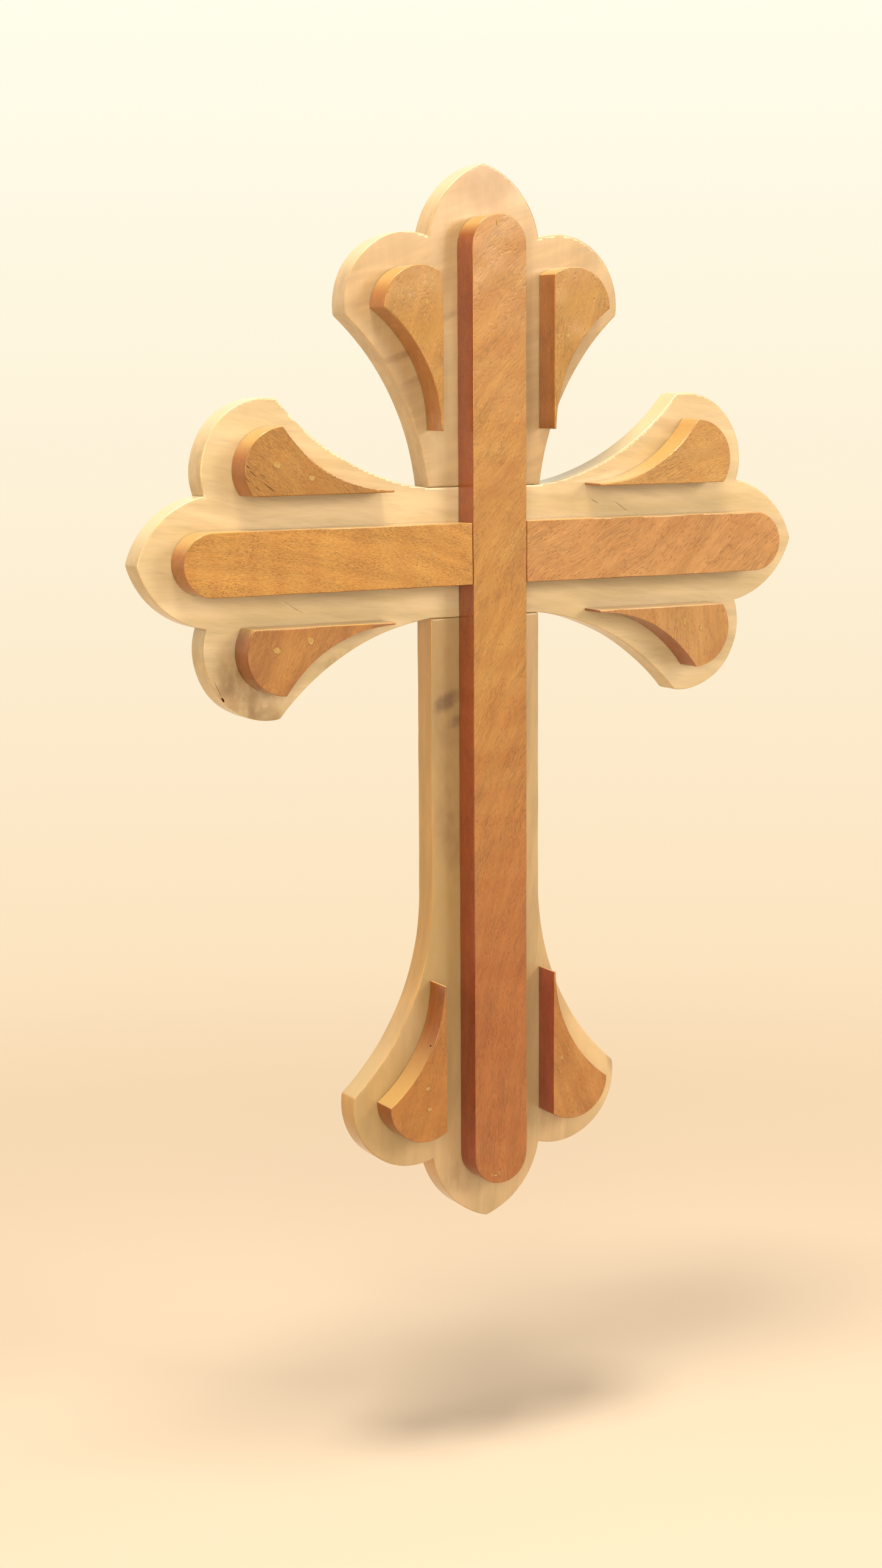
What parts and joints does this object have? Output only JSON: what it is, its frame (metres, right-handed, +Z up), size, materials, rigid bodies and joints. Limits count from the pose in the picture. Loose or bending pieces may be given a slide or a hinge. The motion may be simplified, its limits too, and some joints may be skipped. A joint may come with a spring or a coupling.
{
  "type": "decorative wall cross",
  "caption": "Wall-hung wooden cross with lobed, flared ends; a pale board cross carries raised brown bars and petals.",
  "frame": {"origin": "on the flat back face, where the centre lines of the upright and the crossbeam meet; the cross lies against its wall there", "axes": "+Z up along the upright, +X to the viewer's right along the crossbeam, -Y out of the decorated front, +Y into the wall"},
  "size_m": [0.492, 0.0378, 0.7],
  "materials": {
    "pale_board": "varnished satin",
    "brown_overlay": "varnished satin"
  },
  "bodies": {
    "root": {"head_board": "pale_board", "crossbeam_board": "pale_board", "shaft_board": "pale_board", "upright_bar": "brown_overlay", "left_arm_bar": "brown_overlay", "right_arm_bar": "brown_overlay", "head_left_petal": "brown_overlay", "head_right_petal": "brown_overlay", "left_upper_petal": "brown_overlay", "left_lower_petal": "brown_overlay", "right_upper_petal": "brown_overlay", "right_lower_petal": "brown_overlay", "foot_left_petal": "brown_overlay", "foot_right_petal": "brown_overlay"}
  },
  "joints": []
}
